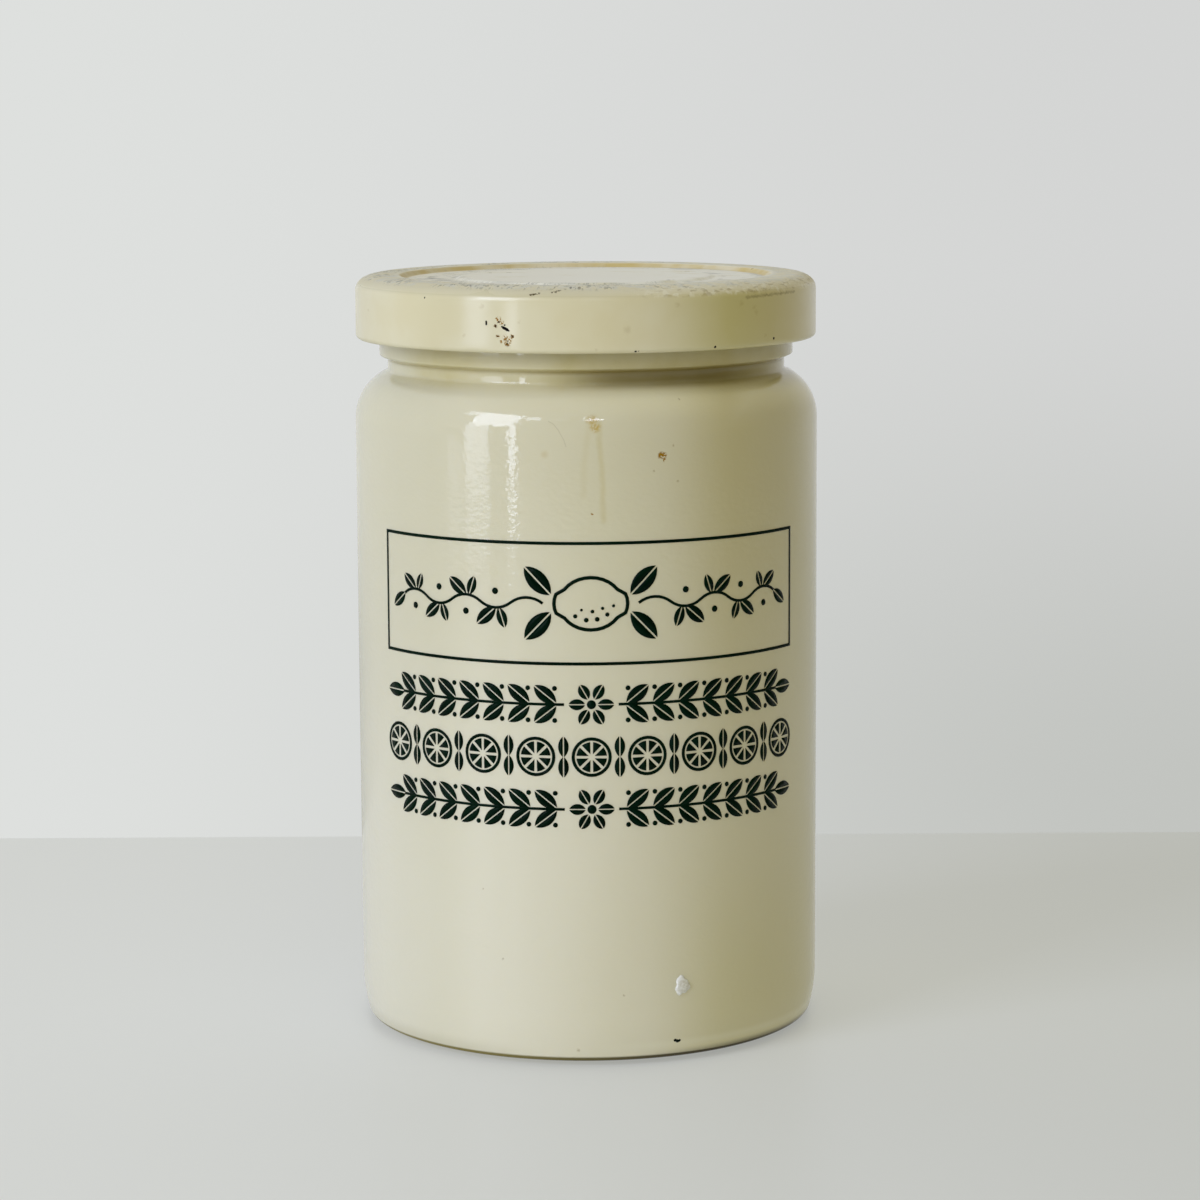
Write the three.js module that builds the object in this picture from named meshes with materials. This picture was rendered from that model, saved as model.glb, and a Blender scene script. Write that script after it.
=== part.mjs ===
// A milk glass marmalade jar with a pressed tin cap that is pushed on and prised off.
// Three pieces: the moulded glass jar, the lacquered tin cap, and the rubber ring inside the cap's skirt,
// which grips the outside of the jar's mouth. All are turned about the jar's upright axis.
// Millimetres, +Z up, origin on the axis at the surface that the jar stands on.

import * as THREE from "three";

// Driving dimensions: the glass jar
const JAR_HEIGHT = 121.2; // standing surface to the top of the lip
const BODY_DIAMETER = 74.6;
const BODY_WALL = 3.5;
const HEEL_HEIGHT = 8; // where the wall starts to draw in
const HEEL_CURVE = 25; // radius of that long curve
const HEEL_ROUNDING = 1.5; // radius where the curve turns under
const ROUNDING_HEIGHT = 2.2; // middle of that rounding above the standing surface
const FOOT_SLOPE = 8; // degrees that the underside rises from the bearing ring to the heel
const BEARING_WIDTH = 3; // flat ring that the jar stands on
const PUSH_UP = 2.5; // rise of the hollow under the base
const FLOOR_THICKNESS = 4.2; // glass over the top of the hollow
const FLOOR_DISH = 0.8; // rise of the inside floor at the axis
const INNER_HEEL_HEIGHT = 9;
const INNER_HEEL_RUN = 6.5;
const SHOULDER_STEP = 5.3; // how far the neck stands in from the body
const SHOULDER_RADIUS = 8.3;
const NECK_HEIGHT = 1.9; // the groove between the shoulder and the mouth band
const NECK_FILLET = 0.6;
const BAND_STEP = 1.35; // how far the mouth band stands out from the neck
const BAND_SLOPE = 0.6; // height of the band's slanted underside
const BAND_HEIGHT = 12.4; // slanted underside to the top of the lip
const BAND_WALL = 3.95;
const BAND_ROUNDING = 0.35;
const LIP_OUTER_ROUNDING = 1;
const LIP_INNER_ROUNDING = 1.5;

// Driving dimensions: the tin cap
const TIN = 0.25; // sheet thickness
const BAND_SHOWING = 2.6; // height of the mouth band left bare below the skirt
const CORNER_RUN = 3.2; // width of the quarter ellipse where the top turns down into the skirt
const CORNER_DROP = 2.3; // its height
const CURL_DIAMETER = 1.5; // the skirt's lower edge, rolled inwards
const CURL_TURN = 285; // degrees that the edge is rolled through
const PANEL_DEPTH = 0.7; // the step down inside the raised rim
const PANEL_SLOPE = 0.9; // width of that step
const MOAT_WIDTH = 8.1; // flat between the step and the raised middle
const BOSS_HEIGHT = 0.35; // the raised middle of the panel
const BOSS_SLOPE = 0.8;
const BEND_RADIUS = 0.2; // hollow side of the panel's small bends

// Driving dimensions: the rubber ring
const RING_THICKNESS = 3.2;
const RING_HEADROOM = 0.9; // left above the ring, below the cap's corner
const RING_ROUNDING = 0.5;

// Clearances
const SEAT_GAP = 0.05; // cap over lip
const GRIP_GAP = 0.15; // ring round the mouth band
const FIT_GAP = 0.1; // ring in the cap

// Facets
const SEGMENTS = 56; // round the axis
const FINE_BEND = 3; // steps in a small bend
const WIDE_BEND = 6; // steps in a large one
const CURL_BEND = 11;

// Sizes that follow
const bodyRadius = BODY_DIAMETER / 2;
const neckRadius = bodyRadius - SHOULDER_STEP;
const bandRadius = neckRadius + BAND_STEP;
const boreRadius = bandRadius - BAND_WALL;
const bandFoot = JAR_HEIGHT - BAND_HEIGHT;
const neckTop = bandFoot - BAND_SLOPE;
const neckFoot = neckTop - NECK_HEIGHT;

const capUnderside = JAR_HEIGHT + SEAT_GAP;
const capTop = capUnderside + TIN;
const capFoot = bandFoot + BAND_SHOWING;
const ringOuterRadius = bandRadius + GRIP_GAP + RING_THICKNESS;
const skirtRadius = ringOuterRadius + FIT_GAP + TIN;

const radians = THREE.MathUtils.degToRad;

// Points along an elliptical arc of the profile. Angles are in degrees, 0 pointing away from the axis, 90 up.
function arc(r, z, across, up, from, to, steps) {
  const curve = new THREE.EllipseCurve(r, z, across, up, radians(from), radians(to), to < from);
  return curve.getPoints(steps);
}

// A chain of straight runs whose corners, given as [r, z, rounding], are rounded by arcs that touch both runs.
function roundedChain(corners, steps) {
  const points = corners.map(([r, z]) => new THREE.Vector2(r, z));
  return corners.flatMap(([, , rounding], i) => {
    const corner = points[i];
    if (!rounding) return [corner];
    const back = points[i - 1].clone().sub(corner).normalize();
    const ahead = points[i + 1].clone().sub(corner).normalize();
    const halfAngle = Math.acos(back.dot(ahead)) / 2;
    const inward = back.clone().add(ahead).normalize();
    const centre = corner.clone().addScaledVector(inward, rounding / Math.sin(halfAngle));
    const reach = rounding / Math.tan(halfAngle);
    const start = corner.clone().addScaledVector(back, reach).sub(centre);
    const end = corner.clone().addScaledVector(ahead, reach).sub(centre);
    const clockwise = start.cross(end) < 0;
    const bend = new THREE.EllipseCurve(
      centre.x, centre.y, rounding, rounding, start.angle(), end.angle(), clockwise,
    );
    return bend.getPoints(steps);
  });
}

// The other face of a sheet whose first face is the given path: every point moved square to the path.
function offsetPath(path, distance) {
  const runs = path.slice(1).map((point, i) => point.clone().sub(path[i]).normalize());
  return path.map((point, i) => {
    const into = runs[Math.max(i - 1, 0)];
    const out = runs[Math.min(i, runs.length - 1)];
    const mean = into.clone().add(out).normalize();
    const square = new THREE.Vector2(mean.y, -mean.x);
    return point.clone().addScaledVector(square, distance / mean.dot(out));
  });
}

// A closed solid of revolution about the upright axis, from a profile of (radius, height) points.
function turned(profile) {
  return new THREE.LatheGeometry(profile, SEGMENTS).rotateX(Math.PI / 2);
}

function piece(name, geometry, material) {
  const mesh = new THREE.Mesh(geometry, material);
  mesh.name = name;
  return mesh;
}

// The glass jar, from the middle of its underside, up the outside, over the lip and down the inside
function glassJar() {
  const innerRadius = bodyRadius - BODY_WALL;

  // The heel's long curve starts level with the body wall and runs smoothly into the rounding at the foot,
  // and the rounding into the underside, which slopes down to the bearing ring.
  const heelAxis = bodyRadius - HEEL_CURVE;
  const heelTurn = Math.asin((HEEL_HEIGHT - ROUNDING_HEIGHT) / (HEEL_CURVE - HEEL_ROUNDING));
  const heelEnd = 360 - THREE.MathUtils.radToDeg(heelTurn);
  const footAxis = heelAxis + (HEEL_CURVE - HEEL_ROUNDING) * Math.cos(heelTurn);
  const foot = arc(
    footAxis, ROUNDING_HEIGHT, HEEL_ROUNDING, HEEL_ROUNDING, 270 + FOOT_SLOPE, heelEnd, WIDE_BEND,
  );
  const standRadius = foot[0].x - foot[0].y / Math.tan(radians(FOOT_SLOPE));

  const hollowRadius = standRadius - BEARING_WIDTH;
  const hollowCurve = (hollowRadius ** 2 + PUSH_UP ** 2) / (2 * PUSH_UP);
  const hollowSpread = THREE.MathUtils.radToDeg(Math.asin(hollowRadius / hollowCurve));
  const floorHeight = PUSH_UP + FLOOR_THICKNESS - FLOOR_DISH;
  const floorRadius = innerRadius - INNER_HEEL_RUN;

  // The shoulder's arc runs out level with the body wall and meets the neck in a small hollow fillet.
  const shoulderAxis = bodyRadius - SHOULDER_RADIUS;
  const shoulderFoot = neckFoot - Math.sqrt(SHOULDER_RADIUS ** 2 - (neckRadius - shoulderAxis) ** 2);
  const filletAxis = neckRadius + NECK_FILLET;
  const filletRise = Math.sqrt((SHOULDER_RADIUS + NECK_FILLET) ** 2 - (filletAxis - shoulderAxis) ** 2);
  const shoulderEnd = THREE.MathUtils.radToDeg(Math.atan2(filletRise, filletAxis - shoulderAxis));

  const innerShoulder = SHOULDER_RADIUS - BODY_WALL;
  const innerShoulderEnd = THREE.MathUtils.radToDeg(Math.acos((boreRadius - shoulderAxis) / innerShoulder));
  const innerShoulderTop = shoulderFoot + innerShoulder * Math.sin(radians(innerShoulderEnd));

  const underside = arc(0, PUSH_UP - hollowCurve, hollowCurve, hollowCurve, 90, 90 - hollowSpread, FINE_BEND);
  const bearingEdge = new THREE.Vector2(standRadius, 0);
  const heel = arc(heelAxis, HEEL_HEIGHT, HEEL_CURVE, HEEL_CURVE, heelEnd, 360, FINE_BEND).slice(1);
  const shoulder = arc(
    shoulderAxis, shoulderFoot, SHOULDER_RADIUS, SHOULDER_RADIUS, 0, shoulderEnd, WIDE_BEND,
  );
  const fillet = arc(
    filletAxis, shoulderFoot + filletRise, NECK_FILLET, NECK_FILLET, shoulderEnd + 180, 180, FINE_BEND,
  );
  const mouth = roundedChain([
    [neckRadius, neckFoot],
    [neckRadius, neckTop, BAND_ROUNDING],
    [bandRadius, bandFoot, BAND_ROUNDING],
    [bandRadius, JAR_HEIGHT, LIP_OUTER_ROUNDING],
    [boreRadius, JAR_HEIGHT, LIP_INNER_ROUNDING],
    [boreRadius, innerShoulderTop],
  ], FINE_BEND).slice(1, -1);
  const insideShoulder = arc(
    shoulderAxis, shoulderFoot, innerShoulder, innerShoulder, innerShoulderEnd, 0, WIDE_BEND,
  );
  const insideHeel = arc(
    floorRadius, floorHeight + INNER_HEEL_HEIGHT, INNER_HEEL_RUN, INNER_HEEL_HEIGHT, 360, 270, WIDE_BEND,
  );
  const floorMiddle = new THREE.Vector2(0, floorHeight + FLOOR_DISH);

  return turned([
    ...underside, bearingEdge, ...foot, ...heel, ...shoulder, ...fillet, ...mouth,
    ...insideShoulder, ...insideHeel, floorMiddle,
  ]);
}

// The cap: one sheet of tin from the middle of its top, over the rim, down the skirt and round the rolled edge
function tinCap() {
  const curlRadius = CURL_DIAMETER / 2;
  // The rim ends a third of the way over the lip's inner rounding, so the step clears the glass.
  const rimInside = boreRadius + LIP_INNER_ROUNDING / 3;
  const panelRadius = rimInside - PANEL_SLOPE;
  const bossFoot = panelRadius - MOAT_WIDTH;
  const bossEdge = bossFoot - BOSS_SLOPE;
  const panelTop = capTop - PANEL_DEPTH;
  const curlHeight = capFoot + curlRadius;
  const bendOver = BEND_RADIUS + TIN;

  const top = roundedChain([
    [0, panelTop + BOSS_HEIGHT],
    [bossEdge, panelTop + BOSS_HEIGHT, bendOver],
    [bossFoot, panelTop, BEND_RADIUS],
    [panelRadius, panelTop, BEND_RADIUS],
    [rimInside, capTop, bendOver],
    [skirtRadius - CORNER_RUN, capTop],
  ], FINE_BEND).slice(0, -1);
  const corner = arc(
    skirtRadius - CORNER_RUN, capTop - CORNER_DROP, CORNER_RUN, CORNER_DROP, 90, 0, WIDE_BEND,
  );
  const curl = arc(skirtRadius - curlRadius, curlHeight, curlRadius, curlRadius, 0, -CURL_TURN, CURL_BEND);
  const outside = [...top, ...corner, ...curl];
  const inside = offsetPath(outside, TIN);
  return turned([...inside, ...outside.reverse()]);
}

// The rubber ring: a plain cut ring with rounded corners, standing on the rolled edge
function rubberRing() {
  const inner = bandRadius + GRIP_GAP;
  const foot = capFoot + CURL_DIAMETER + FIT_GAP;
  const top = capTop - CORNER_DROP - RING_HEADROOM;
  const section = roundedChain([
    [inner, (foot + top) / 2],
    [inner, foot, RING_ROUNDING],
    [ringOuterRadius, foot, RING_ROUNDING],
    [ringOuterRadius, top, RING_ROUNDING],
    [inner, top, RING_ROUNDING],
    [inner, (foot + top) / 2],
  ], FINE_BEND);
  return turned(section);
}

const milkGlass = new THREE.MeshStandardMaterial({ color: 0xd8d4bd, roughness: 0.12, metalness: 0 });
const creamLacquer = new THREE.MeshStandardMaterial({ color: 0xd3cba8, roughness: 0.3, metalness: 0 });
const greyRubber = new THREE.MeshStandardMaterial({ color: 0x6d6a62, roughness: 0.8, metalness: 0 });

const jar = new THREE.Group();
jar.add(piece("glass_jar", glassJar(), milkGlass));

const lid = new THREE.Group();
lid.add(piece("tin_cap", tinCap(), creamLacquer));
lid.add(piece("rubber_ring", rubberRing(), greyRubber));

const marmaladeJar = new THREE.Group();
marmaladeJar.add(jar, lid);

export default marmaladeJar;
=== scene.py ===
"""Looks of the milk glass marmalade jar.

The glass, the pressed tin cap and the rubber ring are turned again with finer rings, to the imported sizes.
The fired enamel print, a dried flake, worn finishes, a stage and light are added.
"""

from math import acos, asin, atan2, cos, degrees, pi, radians, sin, sqrt, tan

import bmesh
import bpy
from mathutils import Matrix, Vector


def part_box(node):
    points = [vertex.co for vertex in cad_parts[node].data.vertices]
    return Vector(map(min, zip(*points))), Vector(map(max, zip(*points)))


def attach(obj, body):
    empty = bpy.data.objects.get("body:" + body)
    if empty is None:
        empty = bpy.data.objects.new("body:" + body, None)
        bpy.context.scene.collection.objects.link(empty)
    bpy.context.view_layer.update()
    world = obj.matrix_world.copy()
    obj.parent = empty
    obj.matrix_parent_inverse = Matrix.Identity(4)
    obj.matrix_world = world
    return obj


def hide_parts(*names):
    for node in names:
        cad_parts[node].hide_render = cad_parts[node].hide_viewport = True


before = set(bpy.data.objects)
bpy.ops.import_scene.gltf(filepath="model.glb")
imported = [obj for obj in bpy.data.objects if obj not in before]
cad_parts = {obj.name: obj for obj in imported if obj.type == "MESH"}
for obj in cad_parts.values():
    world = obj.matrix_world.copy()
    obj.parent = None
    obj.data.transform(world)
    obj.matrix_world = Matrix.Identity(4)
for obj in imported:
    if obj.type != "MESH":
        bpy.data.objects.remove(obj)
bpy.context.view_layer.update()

MM = 0.001
MERGE = 0.001 * MM
SHARP_ANGLE = 50  # degrees, from which an edge isn't shaded smooth

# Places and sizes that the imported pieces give
jar_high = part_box("glass_jar")[1]
cap_low, cap_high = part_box("tin_cap")
ring_low, ring_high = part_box("rubber_ring")
BODY_RADIUS = jar_high.x
LIP_TOP = jar_high.z
CAP_RADIUS = cap_high.x
CAP_FOOT = cap_low.z
CAP_TOP = cap_high.z
RING_RADIUS = ring_high.x
RING_FOOT = ring_low.z
RING_TOP = ring_high.z

# Glass sizes, as in the solid
BODY_WALL = 3.5 * MM
HEEL_HEIGHT = 8 * MM
HEEL_CURVE = 25 * MM
HEEL_ROUNDING = 1.5 * MM
ROUNDING_HEIGHT = 2.2 * MM
FOOT_SLOPE = 8  # degrees
BEARING_WIDTH = 3 * MM
PUSH_UP = 2.5 * MM
FLOOR_THICKNESS = 4.2 * MM
FLOOR_DISH = 0.8 * MM
INNER_HEEL_HEIGHT = 9 * MM
INNER_HEEL_RUN = 6.5 * MM
SHOULDER_STEP = 5.3 * MM
SHOULDER_RADIUS = 8.3 * MM
NECK_HEIGHT = 1.9 * MM
NECK_FILLET = 0.6 * MM
BAND_STEP = 1.35 * MM
BAND_SLOPE = 0.6 * MM
BAND_HEIGHT = 12.4 * MM
BAND_WALL = 3.95 * MM
BAND_SOFTENING = 0.2 * MM
LIP_OUTER_ROUNDING = 1 * MM
LIP_INNER_ROUNDING = 1.5 * MM

# Cap sizes, as in the solid
TIN = 0.25 * MM
CORNER_RUN = 3.2 * MM
CORNER_DROP = 2.3 * MM
CURL_RADIUS = 0.75 * MM
CURL_TURN = 285  # degrees
PANEL_DEPTH = 0.7 * MM
PANEL_SLOPE = 0.9 * MM
MOAT_WIDTH = 8.1 * MM
BOSS_HEIGHT = 0.35 * MM
BOSS_SLOPE = 0.8 * MM
PRESS_SOFTENING = 0.22 * MM

# Ring sizes, as in the solid
RING_THICKNESS = 3.2 * MM
RING_ROUNDING = 0.5 * MM

# Sizes that follow
NECK_RADIUS = BODY_RADIUS - SHOULDER_STEP
BAND_RADIUS = NECK_RADIUS + BAND_STEP
BORE_RADIUS = BAND_RADIUS - BAND_WALL
BAND_FOOT = LIP_TOP - BAND_HEIGHT
NECK_TOP = BAND_FOOT - BAND_SLOPE
NECK_FOOT = NECK_TOP - NECK_HEIGHT
SHOULDER_AXIS = BODY_RADIUS - SHOULDER_RADIUS
SHOULDER_FOOT = NECK_FOOT - sqrt(SHOULDER_RADIUS ** 2 - (NECK_RADIUS - SHOULDER_AXIS) ** 2)
HEEL_AXIS = BODY_RADIUS - HEEL_CURVE
RIM_INSIDE = BORE_RADIUS + LIP_INNER_ROUNDING / 3
PANEL_RADIUS = RIM_INSIDE - PANEL_SLOPE
PANEL_TOP = CAP_TOP - PANEL_DEPTH
BOSS_FOOT = PANEL_RADIUS - MOAT_WIDTH
BOSS_EDGE = BOSS_FOOT - BOSS_SLOPE
CORNER_FOOT = CAP_TOP - CORNER_DROP
CORNER_START = CAP_RADIUS - CORNER_RUN

# Fineness of the turned meshes
JAR_STEPS = 224
CAP_STEPS = 288
RING_STEPS = 160


# Turned pieces

class Profile:
    """An outline in the upright plane through the axis, grown from its tip and then spun."""

    def __init__(self, r, z):
        self.bm = bmesh.new()
        self.tip = self.bm.verts.new((r, 0, z))

    def to(self, r, z, steps=1):
        """A straight run from the tip to (r, z), whose end it returns."""
        start = self.tip.co.copy()
        for step in range(1, steps + 1):
            grown = bmesh.ops.extrude_vert_indiv(self.bm, verts=[self.tip])
            self.tip = grown["verts"][0]
            self.tip.co = start.lerp(Vector((r, 0, z)), step / steps)
        return self.tip

    def swing(self, r, z, degrees, steps):
        """An arc of the tip about (r, z): positive degrees turn from outwards to upwards."""
        grown = bmesh.ops.spin(
            self.bm, geom=[self.tip], cent=(r, 0, z), axis=(0, -1, 0),
            angle=radians(degrees), steps=steps,
        )
        self.tip = next(part for part in grown["geom_last"] if isinstance(part, bmesh.types.BMVert))

    def ellipse(self, r, z, across, up, start, end, steps):
        """An elliptical arc about (r, z), from the tip at the start angle to the end angle, in degrees."""
        for step in range(1, steps + 1):
            turn = radians(start + (end - start) * step / steps)
            self.to(r + across * cos(turn), z + up * sin(turn))

    def soften(self, corners, reach, steps):
        """Rounds corners of the outline, from that far along both runs."""
        bmesh.ops.bevel(
            self.bm, geom=corners, offset=reach, segments=steps, profile=0.5,
            affect="VERTICES", material=-1,
        )

    def close(self):
        """Joins the tip to the first point, for a ring's section."""
        self.bm.verts.ensure_lookup_table()
        bmesh.ops.contextual_create(self.bm, geom=[self.tip, self.bm.verts[0]])

    def spun(self, steps):
        """The turned mesh, with its seam and its points on the axis merged."""
        bm = self.bm
        bmesh.ops.spin(
            bm, geom=bm.verts[:] + bm.edges[:], cent=(0, 0, 0), axis=(0, 0, 1), angle=2 * pi,
            steps=steps, use_merge=True,
        )
        bmesh.ops.remove_doubles(bm, verts=bm.verts, dist=MERGE)
        bmesh.ops.recalc_face_normals(bm, faces=bm.faces)
        return bm


def add_mesh(name, bm, material):
    """A finished mesh as an object at the origin."""
    mesh = bpy.data.meshes.new(name)
    bm.to_mesh(mesh)
    bm.free()
    mesh.materials.append(material)
    made = bpy.data.objects.new(name, mesh)
    bpy.context.scene.collection.objects.link(made)
    return made


def add_piece(name, bm, material, body):
    """A smooth piece of the object, riding on its body."""
    piece = add_mesh(name, bm, material)
    piece.data.shade_smooth()
    piece.data.set_sharp_from_angle(angle=radians(SHARP_ANGLE))
    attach(piece, body)
    return piece


def glass_profile():
    """Up the outside of the jar from the middle of its hollow base, over the lip and down the inside."""
    heel_reach = HEEL_CURVE - HEEL_ROUNDING
    heel_turn = degrees(asin((HEEL_HEIGHT - ROUNDING_HEIGHT) / heel_reach))
    foot_axis = HEEL_AXIS + heel_reach * cos(radians(heel_turn))
    foot_slope = radians(FOOT_SLOPE)
    foot_low = ROUNDING_HEIGHT - HEEL_ROUNDING * cos(foot_slope)
    foot_radius = foot_axis + HEEL_ROUNDING * sin(foot_slope)
    stand_radius = foot_radius - foot_low / tan(foot_slope)
    hollow_radius = stand_radius - BEARING_WIDTH
    hollow_curve = (hollow_radius ** 2 + PUSH_UP ** 2) / (2 * PUSH_UP)
    hollow_turn = degrees(asin(hollow_radius / hollow_curve))
    fillet_axis = NECK_RADIUS + NECK_FILLET
    fillet_rise = sqrt((SHOULDER_RADIUS + NECK_FILLET) ** 2 - (fillet_axis - SHOULDER_AXIS) ** 2)
    shoulder_turn = degrees(atan2(fillet_rise, fillet_axis - SHOULDER_AXIS))
    inner_shoulder = SHOULDER_RADIUS - BODY_WALL
    inner_turn = degrees(acos((BORE_RADIUS - SHOULDER_AXIS) / inner_shoulder))
    inner_rise = inner_shoulder * sin(radians(inner_turn))
    floor_height = PUSH_UP + FLOOR_THICKNESS - FLOOR_DISH
    floor_radius = BODY_RADIUS - BODY_WALL - INNER_HEEL_RUN
    wall_foot = floor_height + INNER_HEEL_HEIGHT

    line = Profile(0, PUSH_UP)
    line.swing(0, PUSH_UP - hollow_curve, -hollow_turn, steps=10)
    line.to(stand_radius, 0)
    line.to(foot_radius, foot_low, steps=3)
    line.swing(foot_axis, ROUNDING_HEIGHT, 90 - FOOT_SLOPE - heel_turn, steps=10)
    line.swing(HEEL_AXIS, HEEL_HEIGHT, heel_turn, steps=12)
    line.to(BODY_RADIUS, SHOULDER_FOOT, steps=12)
    line.swing(SHOULDER_AXIS, SHOULDER_FOOT, shoulder_turn, steps=20)
    line.swing(fillet_axis, SHOULDER_FOOT + fillet_rise, -shoulder_turn, steps=8)
    band_corners = [line.to(NECK_RADIUS, NECK_TOP), line.to(BAND_RADIUS, BAND_FOOT)]
    line.to(BAND_RADIUS, LIP_TOP - LIP_OUTER_ROUNDING, steps=3)
    line.swing(BAND_RADIUS - LIP_OUTER_ROUNDING, LIP_TOP - LIP_OUTER_ROUNDING, 90, steps=8)
    line.to(BORE_RADIUS + LIP_INNER_ROUNDING, LIP_TOP)
    line.swing(BORE_RADIUS + LIP_INNER_ROUNDING, LIP_TOP - LIP_INNER_ROUNDING, 90, steps=8)
    line.to(BORE_RADIUS, SHOULDER_FOOT + inner_rise, steps=4)
    line.swing(SHOULDER_AXIS, SHOULDER_FOOT, -inner_turn, steps=14)
    line.to(BODY_RADIUS - BODY_WALL, wall_foot, steps=8)
    line.ellipse(floor_radius, wall_foot, INNER_HEEL_RUN, INNER_HEEL_HEIGHT, 360, 270, steps=14)
    line.to(0, floor_height + FLOOR_DISH, steps=6)
    line.soften(band_corners, BAND_SOFTENING, steps=4)
    return line


def cap_profile():
    """The outer face of the pressed sheet, from the middle of the top to the end of the rolled edge."""
    curl_height = CAP_FOOT + CURL_RADIUS
    line = Profile(0, PANEL_TOP + BOSS_HEIGHT)
    bends = [line.to(BOSS_EDGE, PANEL_TOP + BOSS_HEIGHT, steps=8), line.to(BOSS_FOOT, PANEL_TOP)]
    bends += [line.to(PANEL_RADIUS, PANEL_TOP, steps=5), line.to(RIM_INSIDE, CAP_TOP)]
    line.to(CORNER_START, CAP_TOP, steps=4)
    line.ellipse(CORNER_START, CORNER_FOOT, CORNER_RUN, CORNER_DROP, 90, 0, steps=16)
    line.to(CAP_RADIUS, curl_height, steps=8)
    line.swing(CAP_RADIUS - CURL_RADIUS, curl_height, -CURL_TURN, steps=26)
    line.soften(bends, PRESS_SOFTENING, steps=4)
    return line


def ring_profile():
    """The cut ring's section with its four rounded corners."""
    inner = RING_RADIUS - RING_THICKNESS
    middle = (RING_FOOT + RING_TOP) / 2
    line = Profile(inner, middle)
    corners = [line.to(inner, RING_FOOT), line.to(RING_RADIUS, RING_FOOT)]
    corners += [line.to(RING_RADIUS, RING_TOP), line.to(inner, RING_TOP)]
    line.close()
    line.soften(corners, RING_ROUNDING, steps=5)
    return line


# Places on the turned surfaces, by the angle right of the front in degrees

def at_angle(angle, r, z):
    turn = radians(angle)
    return Vector((r * sin(turn), -r * cos(turn), z))


def on_glass(angle, height, reach):
    """A mark on the outside of the jar, its height and reach in millimetres."""
    z = height * MM
    r = BODY_RADIUS
    if z > SHOULDER_FOOT:
        r = SHOULDER_AXIS + sqrt(SHOULDER_RADIUS ** 2 - (z - SHOULDER_FOOT) ** 2)
    if z < HEEL_HEIGHT:
        r = HEEL_AXIS + sqrt(HEEL_CURVE ** 2 - (HEEL_HEIGHT - z) ** 2)
    return at_angle(angle, r, z), reach * MM


def on_skirt(angle, height, reach):
    """A mark on the side or the rounded corner of the cap, its height and reach in millimetres."""
    z = height * MM
    above = max(0, z - CORNER_FOOT) / CORNER_DROP
    return at_angle(angle, CAP_RADIUS - CORNER_RUN * (1 - sqrt(1 - above ** 2)), z), reach * MM


def on_lid_top(angle, radius, reach):
    """A mark on the top of the cap, its radius and reach in millimetres."""
    return at_angle(angle, radius * MM, PANEL_TOP), reach * MM


def places(place, *rows):
    """Marks on one of those surfaces, from rows of what it takes."""
    return [place(*row) for row in rows]


def chain(place, *points):
    """The corners of a run or a scratch, from (angle, height) points."""
    return [place(angle, height, 0)[0] for angle, height in points]


# Materials

GLOSS_IOR = 1.5  # of the glass, the lacquer and the enamel
FULL_GLOSS = 0.5


def srgb(red, green, blue):
    """A colour written as screen values from 0 to 255, as the linear colour that sockets take."""
    def linear(value):
        share = value / 255
        return share / 12.92 if share <= 0.04045 else ((share + 0.055) / 1.055) ** 2.4
    return (linear(red), linear(green), linear(blue), 1)


class Nodes:
    """Short calls for the nodes of one tree."""

    def __init__(self, tree):
        self.tree = tree

    def put(self, socket, value):
        if isinstance(value, bpy.types.NodeSocket):
            self.tree.links.new(value, socket)
        else:
            socket.default_value = value

    def add(self, kind, inputs=(), **settings):
        made = self.tree.nodes.new(kind)
        for name, value in settings.items():
            setattr(made, name, value)
        for name, value in dict(inputs).items():
            self.put(made.inputs[name], value)
        return made

    def math(self, operation, first, second):
        return self.add("ShaderNodeMath", {0: first, 1: second}, operation=operation).outputs[0]

    def times(self, *values):
        product = values[0]
        for value in values[1:]:
            product = self.math("MULTIPLY", product, value)
        return product

    def most(self, *values):
        highest = values[0]
        for value in values[1:]:
            highest = self.math("MAXIMUM", highest, value)
        return highest

    def vector(self, operation, first, second=(0, 0, 0)):
        made = self.add("ShaderNodeVectorMath", {0: first, 1: second}, operation=operation)
        return made.outputs["Value" if operation in ("DISTANCE", "DOT_PRODUCT", "LENGTH") else "Vector"]

    def fade(self, value, start, end):
        """0 at start and 1 at end, smooth between them."""
        inputs = {"Value": value, "From Min": start, "From Max": end}
        return self.add("ShaderNodeMapRange", inputs, interpolation_type="SMOOTHSTEP").outputs["Result"]

    def scaled(self, value, low, high):
        """A value from 0 to 1 as one from low to high."""
        inputs = {"Value": value, "To Min": low, "To Max": high}
        return self.add("ShaderNodeMapRange", inputs).outputs["Result"]

    def mix(self, factor, first, second):
        made = self.add("ShaderNodeMix", data_type="RGBA")
        self.put(made.inputs[0], factor)
        self.put(made.inputs[6], first)
        self.put(made.inputs[7], second)
        return made.outputs[2]


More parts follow.
